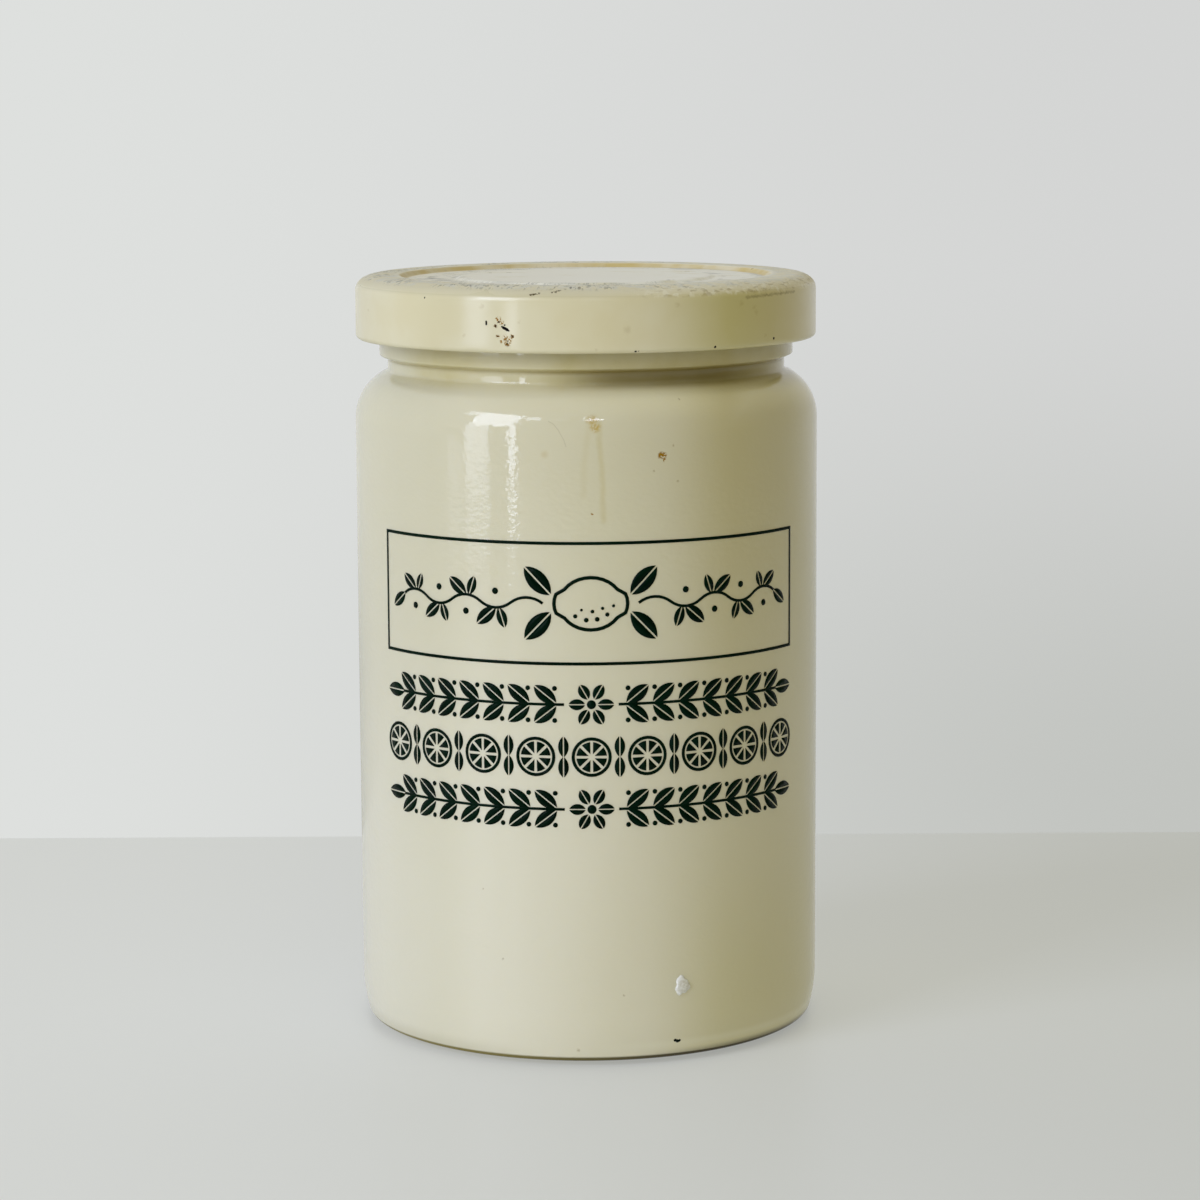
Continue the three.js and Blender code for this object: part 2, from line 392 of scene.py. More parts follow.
class Look(Nodes):
    """A material being made: its shader, its colour so far, and the places and patterns to draw with."""

    def __init__(self, name, **shader):
        self.material = bpy.data.materials.new(name)
        self.material.use_nodes = True
        super().__init__(self.material.node_tree)
        self.shader = self.tree.nodes["Principled BSDF"]
        for socket, value in shader.items():
            self.shader.inputs[socket.replace("_", " ")].default_value = value
        self.place = self.add("ShaderNodeTexCoord").outputs["Object"]
        parts = self.add("ShaderNodeSeparateXYZ", {"Vector": self.place}).outputs
        self.x = parts["X"]
        self.z = parts["Z"]
        self.level = self.vector("MULTIPLY", self.place, (1, 1, 0))
        self.radius = self.vector("LENGTH", self.level)
        self.colour = None

    def feed(self, socket, value):
        self.tree.links.new(value, self.shader.inputs[socket])

    def tint(self, screen_values, *factors):
        """Lays a colour over the one so far, as strongly as the factors' product says."""
        self.colour = self.mix(self.times(*factors), self.colour, srgb(*screen_values))

    def band(self, value, low, high, blur):
        """1 between low and high."""
        rising = self.fade(value, low - blur, low + blur)
        return self.times(rising, self.fade(value, high + blur, high - blur))

    def across(self, start, end):
        """0 to 1 from one place to another across the jar, in millimetres right of its axis."""
        return self.fade(self.x, start * MM, end * MM)

    def strip(self, left, right, blur):
        """1 between two places across the jar, in millimetres right of its axis."""
        return self.band(self.x, left * MM, right * MM, blur * MM)

    def upward(self, start, end):
        """0 to 1 from one height to another, in millimetres."""
        return self.fade(self.z, start * MM, end * MM)

    def stretched(self, up):
        """A place for patterns, with heights times that."""
        return self.vector("MULTIPLY", self.place, (1, 1, up))

    def wound(self, around, across):
        """A place for patterns that follow the turned top: all its circles count as one of that radius."""
        ring = self.vector("NORMALIZE", self.level)
        along = self.vector("MULTIPLY", ring, (around, around, 0))
        outwards = self.add("ShaderNodeCombineXYZ", {"Z": self.times(self.radius, across)})
        return self.vector("ADD", along, outwards.outputs["Vector"])

    def ragged(self, size, throw):
        """The place, thrown about by a fine noise, so that what is drawn by it gets a ragged edge."""
        inputs = {"Vector": self.place, "Scale": 1 / size, "Detail": 2.0}
        toss = self.add("ShaderNodeTexNoise", inputs).outputs["Color"]
        centred = self.vector("SUBTRACT", toss, (0.5, 0.5, 0.5))
        thrown = self.vector("MULTIPLY", centred, (throw, throw, throw))
        return self.vector("ADD", self.place, thrown)

    def noise(self, size, detail, distortion=0.0, place=None):
        """Noise with lumps of about that size."""
        inputs = {"Vector": place or self.place, "Scale": 1 / size}
        inputs.update({"Detail": detail, "Distortion": distortion})
        return self.add("ShaderNodeTexNoise", inputs).outputs["Fac"]

    def marks(self, marks, place, edge):
        """1 inside any of the marks, falling off from that share of each mark's reach to all of it."""
        nearest = None
        for centre, reach in marks:
            away = self.vector("DISTANCE", place, tuple(centre))
            share = self.math("DIVIDE", away, reach)
            nearest = share if nearest is None else self.math("MINIMUM", nearest, share)
        return self.fade(nearest, 1, edge)

    def line(self, corners, place, reach, edge):
        """1 along the runs between the corners, falling off from that share of the reach to all of it."""
        nearest = None
        for start, end in zip(corners, corners[1:]):
            run = end - start
            offset = self.vector("SUBTRACT", place, tuple(start))
            share = self.vector("DOT_PRODUCT", offset, tuple(run / run.length_squared))
            share = self.add("ShaderNodeClamp", {"Value": share}).outputs["Result"]
            foot = self.add("ShaderNodeVectorMath", {0: tuple(run), "Scale": share}, operation="SCALE")
            away = self.vector("DISTANCE", offset, foot.outputs["Vector"])
            nearest = away if nearest is None else self.math("MINIMUM", nearest, away)
        return self.fade(nearest, reach, reach * edge)

    def bump(self, height, strength, distance, under=None):
        inputs = {"Height": height, "Strength": strength, "Distance": distance}
        if under is not None:
            inputs["Normal"] = under
        return self.add("ShaderNodeBump", inputs).outputs["Normal"]


SMEAR = places(on_glass, (1.7, 101.4, 1.3), (2.3, 100.3, 1.2))
LEFT_RUN = chain(on_glass, (0.9, 100.8), (0.2, 97.5), (-0.5, 94.4), (-0.6, 90))
RIGHT_RUN = chain(on_glass, (3.0, 100.8), (3.5, 96), (3.9, 91.8), (4.1, 86.1))
RUST_SPECKS = places(on_glass, (18.2, 95.8, 0.8), (18.7, 95.1, 0.35), (1.5, 87.05, 0.24))
FAINT_SPECKS = places(
    on_glass, (16.1, 93.4, 0.3), (22, 91.7, 0.28), (21.1, 97.3, 0.3), (-2.7, 2.8, 0.4),
    (-21, 17, 0.25), (-26, 28, 0.25), (24, 104.1, 0.3), (8.5, 11.6, 0.25),
)
PALE_STAIN = places(on_glass, (-9.7, 96.2, 0.9))
SCRATCH = chain(on_glass, (-8.8, 101.2), (-7.6, 100.8), (-6.4, 99.9), (-5.1, 98.4), (-4.6, 97.4))
INK_FLECK = places(on_glass, (21.4, 3.7, 0.32), (22.0, 3.55, 0.34), (22.5, 3.6, 0.26))


def glass_tones(look):
    """The glass's cream, with painted light over it: paler and cooler low down, a paler shoulder, and
    painted shade, greyer at the left and warm at the right.
    """
    # Painted light: the glass is paler and cooler low down, where light from the floor falls, and warmer
    # above
    height = look.upward(25, 95)
    look.colour = look.mix(height, srgb(229, 224, 201), srgb(220, 214, 185))
    # Painted highlight: the shoulder, which faces up, is paler
    painted_shoulder_light = look.band(look.z, SHOULDER_FOOT + 4 * MM, NECK_FOOT - 0.4 * MM, 2 * MM)
    look.tint((239, 233, 199), painted_shoulder_light, look.scaled(look.across(-24, 30), 0.25, 1))
    cloud = look.noise(40 * MM, detail=2, place=look.stretched(0.4))
    look.tint((215, 209, 171), look.fade(cloud, 0.4, 0.7), 0.25)
    # Painted shade: a greyer upright band at the left of the body, stronger upwards
    look.tint((190, 184, 150), look.strip(-32, -21, 4), look.scaled(height, 0.13, 0.2))

    # Painted warm shade: the right side yellower and darker, though not on the shoulder at its far right
    below_neck = look.fade(look.z, NECK_FOOT - 1 * MM, SHOULDER_FOOT)
    spared = look.most(below_neck, look.across(27, 21))
    painted_warm_shade = look.times(look.strip(17, 28, 6), height, spared)
    look.tint((204, 193, 134), painted_warm_shade, look.scaled(cloud, 0.35, 0.65))
    # Painted warm shade on the lower right of the body too
    look.tint((208, 200, 134), look.across(8, 22), look.upward(48, 6), 0.42)


def glass_neck(look, outside):
    """Yellowing with age and painted shade on the mouth band, grime and painted shade at the neck's top,
    and painted shade in the neck groove, all least at the left.
    """
    mottle = look.noise(5 * MM, detail=4)
    # The mouth band: partly yellowing with age, partly painted shade under the cap's edge; less at the
    # left, which is painted as lit
    ageing_and_shade = look.band(look.z, NECK_FOOT - 0.6 * MM, BAND_FOOT + 5 * MM, 1.4 * MM)
    left_end = look.scaled(look.across(-30, -23), 0.1, 1)
    left_middle = look.scaled(look.strip(-19, -5, 3), 1, 0.55)
    aged_and_shaded_side = look.times(left_end, left_middle)
    look.tint((188, 173, 100), ageing_and_shade, outside, aged_and_shaded_side, look.scaled(mottle, 0.25, 0.82))
    # Grime and painted shade in the corner at the neck's top, stronger to the right
    seam = look.band(look.z, NECK_TOP - 0.3 * MM, NECK_TOP + 0.4 * MM, 0.3 * MM)
    look.tint((164, 146, 78), seam, outside, look.scaled(look.across(-14, 4), 0.3, 0.75))
    # Painted shade in the neck groove, darkest at the right
    groove = look.band(look.z, NECK_FOOT - 0.2 * MM, NECK_TOP + 0.2 * MM, 0.9 * MM)
    look.tint((116, 101, 48), groove, outside, look.strip(-1, 26, 7), 0.78)


def glass_foot(look, outside):
    """A painted highlight along the heel at the right, and the painted shade where the jar stands on the
    floor, which it returns.
    """
    # Painted highlight: a pale line along the heel at the right
    painted_heel_highlight = look.times(look.band(look.z, 2.7 * MM, 3.7 * MM, 0.5 * MM), look.across(0, 14), 0.3)
    look.tint((240, 238, 214), painted_heel_highlight, outside)
    # Painted shade where the jar meets the floor, widest and darkest at the right
    line = look.times(look.upward(1.75, 1.35), 0.95)
    right_side = look.times(look.upward(2.5, 1.2), look.across(4, 28), 0.85)
    left_side = look.times(look.upward(4, 1.5), look.across(-6, -22), 0.18)
    past_bearing = look.fade(look.radius, 28 * MM, 30 * MM)
    painted_foot_shade = look.times(look.most(line, right_side, left_side), past_bearing)
    foot_shade_colour = look.mix(look.across(-20, 20), srgb(124, 112, 50), srgb(46, 36, 8))
    look.colour = look.mix(painted_foot_shade, look.colour, foot_shade_colour)
    return painted_foot_shade


def glass_marks(look):
    """Runs, stains, specks and a scratch: it returns the rust and the ink, which have no gloss."""
    fine = look.ragged(0.3 * MM, 0.2 * MM)
    ragged = look.ragged(0.7 * MM, 0.7 * MM)
    soft = look.ragged(2 * MM, 0.6 * MM)
    left_run = look.times(look.line(LEFT_RUN, soft, 0.9 * MM, 0), 0.13)
    right_run = look.times(look.line(RIGHT_RUN, soft, 0.8 * MM, 0), 0.3)
    look.tint((198, 182, 112), look.most(left_run, right_run))
    crumbs = look.fade(look.noise(0.34 * MM, detail=2), 0.4, 0.56)
    look.tint((196, 170, 92), look.marks(SMEAR, ragged, 0.1), look.scaled(crumbs, 0.3, 0.9))
    look.tint((196, 174, 112), look.marks(PALE_STAIN, soft, 0), 0.35)
    look.tint((160, 142, 92), look.marks(FAINT_SPECKS, ragged, 0.2), 0.5)
    rust_crumbs = look.fade(look.noise(0.3 * MM, detail=2), 0.36, 0.46)
    rust = look.times(look.marks(RUST_SPECKS, ragged, 0.5), rust_crumbs)
    look.tint((150, 110, 22), rust)
    look.tint((150, 142, 108), look.line(SCRATCH, look.place, 0.12 * MM, 0.3), 0.2)
    ink = look.marks(INK_FLECK, fine, 0.7)
    look.tint((2, 18, 12), ink)
    return look.most(rust, ink)


def milk_glass():
    look = Look(
        "milk_glass", IOR=GLOSS_IOR, Subsurface_Scale=2.5 * MM, Subsurface_Radius=(1, 0.9, 0.7),
    )
    outside = look.fade(look.radius, NECK_RADIUS - 0.8 * MM, NECK_RADIUS - 0.3 * MM)
    glass_tones(look)
    glass_neck(look, outside)
    painted_foot_shade = glass_foot(look, outside)
    dull = look.most(glass_marks(look), painted_foot_shade)
    look.feed("Base Color", look.colour)
    look.feed("Specular IOR Level", look.scaled(dull, FULL_GLOSS, 0.05))
    look.feed("Subsurface Weight", look.scaled(dull, 0.3, 0))
    look.feed("Roughness", look.scaled(look.noise(9 * MM, detail=3), 0.03, 0.1))
    ripple = look.bump(look.noise(7 * MM, detail=1), 0.12, 0.1 * MM)
    peel = look.noise(1 * MM, detail=1, place=look.stretched(1.4))
    look.feed("Normal", look.bump(peel, 0.5, 0.045 * MM, ripple))
    return look.material


RUST_CLUSTER = places(
    on_skirt, (-20.9, 116.65, 0.62), (-21.4, 115.7, 0.5), (-19.9, 116.1, 0.5), (-19.0, 113.8, 0.65),
    (-18.6, 112.9, 0.6), (-17.4, 114.0, 0.45), (-21.0, 114.05, 0.4), (-18.0, 113.4, 0.55),
    (-20.2, 113.3, 0.35),
)
RUST_CORE = places(
    on_skirt, (-20.6, 116.2, 0.3), (-21.5, 115.6, 0.28), (-18.7, 113.5, 0.4), (-18.4, 112.8, 0.45),
    (-17.3, 114.05, 0.24), (-21.0, 114.05, 0.22),
)
SCAR = chain(on_skirt, (-19.9, 115.5), (-18.2, 114.9))
SCAR_MIDDLE = chain(on_skirt, (-19.5, 115.35), (-18.6, 115.05))
SHORT_SCAR = chain(on_skirt, (-23.9, 116.2), (-23.9, 115.8))
CHIPS = places(
    on_skirt, (-19.2, 115.75, 0.16), (32.5, 111.95, 0.26), (52.15, 112.6, 0.26), (12.0, 111.6, 0.34),
    (12.7, 111.7, 0.22), (-41.7, 119.5, 0.18),
)
TEA_SPOTS = places(
    on_skirt, (-25.1, 118.5, 0.5), (-67.2, 116.8, 0.5), (-29.8, 114.05, 0.4), (10.1, 115.0, 0.9),
    (22.5, 118.65, 0.7), (45.3, 116.8, 0.6), (44.5, 117.6, 0.6), (-15.6, 116.2, 0.35),
    (49, 113.2, 0.4), (2.5, 112.2, 0.5), (40.5, 118.4, 0.7),
)
EDGE_SCRAPES = [
    chain(on_skirt, (-12.9, 120.35), (-10.9, 120.55)),
    chain(on_skirt, (-7.9, 120.75), (-5.8, 120.95)),
]
CORNER_CREASE = chain(
    on_skirt, (42, 119.3), (46, 119.35), (50, 119.4), (54, 119.45), (58, 119.45), (62, 119.5),
)
TOP_SCAR = places(on_lid_top, (44, 18.9, 0.6), (46, 19.3, 0.5), (35, 18.6, 0.4), (70, 27, 0.4))
MOAT_STAIN = places(on_lid_top, (-77, 23.2, 2.4), (-88, 24, 2), (-64, 22.6, 1.8))


def lacquer_tones(look, cloud):
    """The cream itself, with painted warm shade on the skirt at the right and painted shade on it at the
    left.
    """
    look.colour = look.mix(look.fade(cloud, 0.35, 0.65), srgb(226, 218, 184), srgb(222, 212, 172))
    skirt = look.fade(look.z, CAP_TOP - 0.8 * MM, CAP_TOP - 2 * MM)
    # Painted warm shade: the skirt yellower and darker at the right
    look.tint((202, 193, 122), look.strip(17, 29, 8), skirt, look.scaled(cloud, 0.55, 0.85))
    # Painted shade: the skirt duller at the left
    look.tint((196, 188, 150), look.strip(-26, -14, 5), skirt, 0.2)


def lacquer_top(look):
    """A pale top with a rubbed rim, a grimy moat and a gilt step: it returns wear, rubs and pits."""
    up = look.fade(look.z, CAP_TOP - 1.6 * MM, CAP_TOP - 0.7 * MM)
    worn = look.times(up, look.fade(look.noise(6 * MM, detail=4), 0.2, 0.46))
    inner = look.scaled(look.fade(look.radius, RIM_INSIDE + 1.5 * MM, PANEL_RADIUS), 0.25, 0.95)
    look.tint((250, 248, 238), worn, inner, look.scaled(look.across(-25, 5), 0.75, 1))

    grain = look.noise(1.3 * MM, detail=5)
    rim_band = look.band(look.radius, RIM_INSIDE + 0.4 * MM, CAP_RADIUS - 1.4 * MM, 0.6 * MM)
    rim = look.times(rim_band, up)
    rubs = look.times(rim, look.fade(grain, 0.4, 0.6))
    look.tint((217, 218, 212), rubs, 0.6)
    moat = look.times(look.band(look.radius, BOSS_EDGE - 0.5 * MM, PANEL_RADIUS, 0.8 * MM), up)
    swirl = look.noise(3 * MM, detail=5, distortion=0.6, place=look.wound(12 * MM, 1))
    look.tint((146, 145, 134), moat, look.fade(swirl, 0.5, 0.68), 0.42)
    stain = look.marks(MOAT_STAIN, look.ragged(3 * MM, 2 * MM), 0.2)
    look.tint((126, 126, 118), stain, look.scaled(grain, 0.2, 1), up, 0.7)
    step = look.times(look.band(look.radius, PANEL_RADIUS - 0.3 * MM, RIM_INSIDE, 0.35 * MM), up)
    gilt = look.fade(look.noise(9 * MM, detail=3), 0.34, 0.62)
    look.tint((210, 186, 112), step, look.scaled(gilt, 0.45, 0.95))

    dashes = look.noise(0.4 * MM, detail=1, place=look.wound(33 * MM, 0.45))
    patches = look.fade(look.noise(4 * MM, detail=3), 0.38, 0.58)
    dotted = look.times(look.fade(dashes, 0.56, 0.62), look.most(rim, look.times(moat, 0.6)))
    pits = look.times(dotted, patches, look.scaled(look.across(22, -4), 0.3, 1))
    look.tint((66, 63, 52), pits, 0.65)
    return worn, rubs, pits


def lacquer_corner(look, streaks):
    """The rounded corner, dull at the left, flaked and browned at the right: it returns the flaking."""
    turned_down = look.fade(look.radius, CORNER_START - 0.4 * MM, CORNER_START + 0.4 * MM)
    corner_band = look.band(look.z, CORNER_FOOT + 0.7 * MM, CAP_TOP - 0.2 * MM, 0.35 * MM)
    corner = look.times(corner_band, turned_down)
    look.tint((190, 182, 146), corner, look.across(14, -6), 0.36)
    worn = look.times(corner, look.across(4, 16))
    flakes = look.noise(0.45 * MM, detail=3, place=look.wound(18 * MM, 0.9))
    flaked = look.times(worn, look.fade(flakes, 0.52, 0.6))
    look.tint((246, 242, 224), flaked, 0.55)
    look.tint((156, 136, 78), worn, look.fade(streaks, 0.54, 0.66), 0.45)
    return flaked


def lacquer_marks(look, fine, streaks):
    """Spots, a crease and worse: it returns the scrapes, the rust, its core and the scars."""
    ragged = look.ragged(0.5 * MM, 0.6 * MM)
    blotted = look.ragged(0.8 * MM, 1.2 * MM)
    sharp = look.ragged(0.3 * MM, 0.12 * MM)
    look.tint((166, 142, 78), look.marks(TEA_SPOTS, blotted, 0), 0.22)
    crease = look.line(CORNER_CREASE, ragged, 0.36 * MM, 0)
    look.tint((104, 88, 50), crease, look.scaled(streaks, 0.1, 0.7))
    scrapes = look.most(*[look.line(scrape, ragged, 0.3 * MM, 0.2) for scrape in EDGE_SCRAPES])
    look.tint((84, 72, 44), scrapes, look.fade(fine, 0.42, 0.52))
    crumbs = look.fade(look.noise(0.28 * MM, detail=2), 0.48, 0.55)
    rust = look.times(look.marks(RUST_CLUSTER, ragged, 0.5), crumbs)
    look.tint((150, 108, 28), rust)
    core = look.times(look.marks(RUST_CORE, ragged, 0.4), look.fade(fine, 0.4, 0.5))
    look.tint((64, 41, 8), core)
    scars = look.most(
        look.line(SCAR, sharp, 0.17 * MM, 0.6),
        look.line(SCAR_MIDDLE, sharp, 0.27 * MM, 0.7),
        look.line(SHORT_SCAR, sharp, 0.2 * MM, 0.6),
        look.marks(CHIPS + TOP_SCAR, sharp, 0.6),
    )
    look.tint((16, 11, 8), scars)
    return scrapes, rust, core, scars


def cream_lacquer():
    look = Look("cream_lacquer", IOR=GLOSS_IOR)
    cloud = look.noise(14 * MM, detail=4)
    fine = look.noise(0.45 * MM, detail=3)
    streaks = look.noise(0.5 * MM, detail=3, place=look.wound(13 * MM, 1))
    lacquer_tones(look, cloud)
    worn, rubs, pits = lacquer_top(look)
    flaked = lacquer_corner(look, streaks)
    scrapes, rust, core, scars = lacquer_marks(look, fine, streaks)
    look.feed("Base Color", look.colour)
    dull = look.most(rust, core, scars, scrapes, pits)
    look.feed("Specular IOR Level", look.scaled(dull, FULL_GLOSS, 0.04))
    rough = look.most(look.times(worn, 0.35), look.times(rubs, 0.45), look.times(rust, 0.7))
    look.feed("Roughness", look.math("ADD", look.scaled(cloud, 0.15, 0.23), rough))
    wave = look.bump(look.noise(9 * MM, detail=1), 0.15, 0.1 * MM)
    hollows = look.most(rust, pits, scars, look.times(flaked, 0.5))
    height = look.math("SUBTRACT", look.times(fine, 0.2), hollows)
    look.feed("Normal", look.bump(height, 0.35, 0.04 * MM, wave))
    return look.material


def grey_rubber():
    look = Look("grey_rubber", Roughness=0.8)
    grain = look.noise(0.6 * MM, detail=3)
    look.colour = look.mix(look.fade(grain, 0.4, 0.65), srgb(118, 114, 102), srgb(94, 90, 80))
    bloom = look.noise(8 * MM, detail=4)
    look.tint((150, 146, 132), look.fade(bloom, 0.5, 0.7), 0.5)
    look.feed("Base Color", look.colour)
    look.feed("Normal", look.bump(grain, 0.3, 0.05 * MM))
    return look.material


def green_enamel():
    look = Look("green_enamel", IOR=GLOSS_IOR, Specular_IOR_Level=0.04)
    cloud = look.noise(5 * MM, detail=3)
    look.colour = look.mix(look.fade(cloud, 0.35, 0.65), srgb(0, 19, 8), srgb(1, 27, 13))
    thin = look.noise(0.5 * MM, detail=3)
    look.tint((12, 54, 34), look.fade(thin, 0.62, 0.74), 0.2)
    look.feed("Base Color", look.colour)
    look.feed("Roughness", look.scaled(cloud, 0.18, 0.34))
    look.feed("Normal", look.bump(thin, 0.2, 0.01 * MM))
    return look.material


def dried_residue():
    look = Look("dried_residue", Roughness=0.7)
    grain = look.noise(0.4 * MM, detail=4)
    look.colour = look.mix(look.fade(grain, 0.35, 0.65), srgb(246, 246, 242), srgb(224, 222, 212))
    look.feed("Base Color", look.colour)
    look.feed("Normal", look.bump(grain, 0.5, 0.1 * MM))
    return look.material


# The print: flat marks in the upright plane, x along the glass and z up, which are then bent round the jar

PRINT_TURN = 1.0  # degrees that its middle lies right of the front
PRINT_HALF = 37.9 * MM
PRINT_LIFT = 0.015 * MM
PRINT_THICKNESS = 0.03 * MM
PRINT_STRIP = 1 * MM
FRAME_LOW = 63.7 * MM
FRAME_HIGH = 82.8 * MM
FRAME_LINE = 0.48 * MM
ROW_HEIGHTS = (57.6 * MM, 49.4 * MM, 41.2 * MM)

# Leaves: the length, the bulge to each side and the open vein
SPRIG_LEAF = (5.8 * MM, 1.35 * MM, 0.26 * MM)
TIP_LEAF = (3.6 * MM, 0.84 * MM, 0.2 * MM)
GARLAND_LEAF = (4.3 * MM, 1.02 * MM, 0.2 * MM)
UPRIGHT_LEAF = (3.2 * MM, 0.72 * MM, 0.2 * MM)
LEAF_STEPS = 10

# The sprig's two leaves, from the middle of the frame
SPRIG_ACROSS = 6.2 * MM
SPRIG_UP = 1.4 * MM
SPRIG_LEAN = 46  # degrees

# The vine: its leaves have a length and a bulge for the first crest, a vein, a shift and a lean in degrees
VINE_START = 7.4 * MM
VINE_WAVES = 5
VINE_REACH = 5.1 * MM
VINE_LEAN = 38  # degrees
VINE_LINE = 0.44 * MM
VINE_SHRINK = 0.06
VINE_LEAVES = ((4.1, 0.95, 0.22 * MM, 0, 40), (3.2, 0.74, 0.2 * MM, -0.6 * MM, 108))
VINE_BERRY = 0.5 * MM
VINE_BERRY_OFFSET = 1.7 * MM

# The garlands
GARLAND_START = 4.2 * MM
GARLAND_PAIRS = 7
GARLAND_PITCH = 4.2 * MM
GARLAND_LINE = 0.42 * MM
GARLAND_LEAN = 38  # degrees
GARLAND_GAP = 0.2 * MM
GARLAND_BERRY = 0.38 * MM
GARLAND_BERRY_OFFSET = 2.5 * MM

# Fruit slices and rosettes: the shares are of their radius, the turns in degrees
SLICE_PITCH = 8.7  # millimetres
SLICES_A_SIDE = 4
SLICE_RADIUS = 3.1 * MM
SLICE_RIND = 0.16
SEGMENT_INNER = 0.16
SEGMENT_OUTER = 0.76
SEGMENT_SPREAD = 34
SEGMENT_TURN = 45
ROSETTE_RADIUS = 3.5 * MM
ROSETTE_EYE = 0.2
PETAL_SHARES = (0.72, 0.22, 0.05)
PETAL_FOOT = 0.28
PETAL_TURN = 60

# The lemon: the shares are of its length, and each dot has a place across, a place up and a size
LEMON_LENGTH = 12 * MM
LEMON_HALF_HEIGHT = 0.36
LEMON_STRETCH = 1.18
LEMON_END = 0.39
LEMON_TIP = 0.07
LEMON_LINE = 0.045
LEMON_DOT = 0.03
LEMON_DOTS = (
    (-0.2, -0.16, 0.9), (-0.06, -0.21, 1), (0.08, -0.2, 1), (0.21, -0.14, 0.9),
    (0.02, -0.1, 0.8), (0.15, -0.06, 0.7), (0.29, -0.03, 0.7), (-0.12, -0.08, 0.6),
)

# The dried flake
FLAKE_RADIUS = 1.5 * MM
FLAKE_WIDTH = 0.8  # of its height
FLAKE_TOP = (0.8, 1, 0.75)  # of its foot
FLAKE_THICKNESS = 0.25 * MM
FLAKE_HEIGHT = 12.5 * MM
FLAKE_TURN = 23  # degrees right of the front


def leaf_mark(length, bulge, vein):
    """A leaf from the origin along x: two slices with an open vein between them."""
    bm = bmesh.new()
    radius = (length ** 2 / 4 + bulge ** 2) / (2 * bulge)
    root = bm.verts.new((0, 0, vein / 2))
    bmesh.ops.spin(
        bm, geom=[root], cent=(length / 2, 0, vein / 2 + bulge - radius), axis=(0, -1, 0),
        angle=-2 * asin(length / 2 / radius), steps=LEAF_STEPS,
    )
    bmesh.ops.contextual_create(bm, geom=bm.verts[:])
    bmesh.ops.mirror(bm, geom=bm.verts[:] + bm.edges[:] + bm.faces[:], axis="Z")
    return bm


def stand_up(bm):
    """Turns a mark from the level plane into the upright one."""
    bmesh.ops.rotate(bm, verts=bm.verts, matrix=Matrix.Rotation(radians(90), 3, "X"))


def rule_mark(length, height):
    """A straight bar from the origin along x."""
    bm = bmesh.new()
    bmesh.ops.create_grid(bm, x_segments=1, y_segments=1, size=0.5)
    stand_up(bm)
    bmesh.ops.translate(bm, verts=bm.verts, vec=(0.5, 0, 0))
    bmesh.ops.scale(bm, verts=bm.verts, vec=(length, 1, height))
    return bm


def dot_mark(radius, across=1.0):
    """A dot, its width that many times its height."""
    bm = bmesh.new()
    bmesh.ops.create_circle(bm, cap_ends=True, radius=radius, segments=32)
    stand_up(bm)
    bmesh.ops.scale(bm, verts=bm.verts, vec=(across, 1, 1))
    return bm


def leave_edge(bm, line):
    """Leaves only a line of a filled mark's edge."""
    middle = bm.faces[:]
    bmesh.ops.inset_region(bm, faces=middle, thickness=line, use_boundary=True, use_even_offset=True)
    bmesh.ops.delete(bm, geom=middle, context="FACES_ONLY")
    return bm


def segment_mark(inner, outer, spread):
    """One segment of a fruit slice, along x: a wedge with an arched end."""
    bm = bmesh.new()
    bm.verts.new((inner, 0, 0))
    start = radians(-spread / 2)
    rim = bm.verts.new((outer * cos(start), 0, outer * sin(start)))
    bmesh.ops.spin(bm, geom=[rim], cent=(0, 0, 0), axis=(0, -1, 0), angle=radians(spread), steps=6)
    bmesh.ops.contextual_create(bm, geom=bm.verts[:])
    return bm


def lemon_mark(length, line):
    """A lemon's outline, drawn out at both ends."""
    bm = dot_mark(LEMON_HALF_HEIGHT * length, LEMON_STRETCH)
    for side in (1, -1):
        end = [vert for vert in bm.verts if vert.co.x * side > LEMON_END * length]
        bmesh.ops.translate(bm, verts=end, vec=(side * LEMON_TIP * length, 0, 0))
    return leave_edge(bm, line)


def wave_side(wave):
    """1 for a half wave that goes up and -1 for one that goes down."""
    return 1 if wave % 2 == 0 else -1


def stem_mark(waves, reach, lean, line):
    """A wavy line from the origin along x, each half wave that long, starting at that lean upwards."""
    bm = bmesh.new()
    radius = reach / 2 / sin(lean)
    across = Vector((-sin(lean), 0, cos(lean))) * line / 2
    foot = bm.verts.new(across)
    grown = bmesh.ops.extrude_vert_indiv(bm, verts=[foot])
    grown["verts"][0].co = -across
    tip = [foot] + grown["verts"] + grown["edges"]
    for wave in range(waves):
        side = wave_side(wave)
        centre = (reach * (wave + 0.5), 0, -side * radius * cos(lean))
        grown = bmesh.ops.spin(bm, geom=tip, cent=centre, axis=(0, -1, 0), angle=-side * 2 * lean, steps=8)
        tip = grown["geom_last"]
    return bm


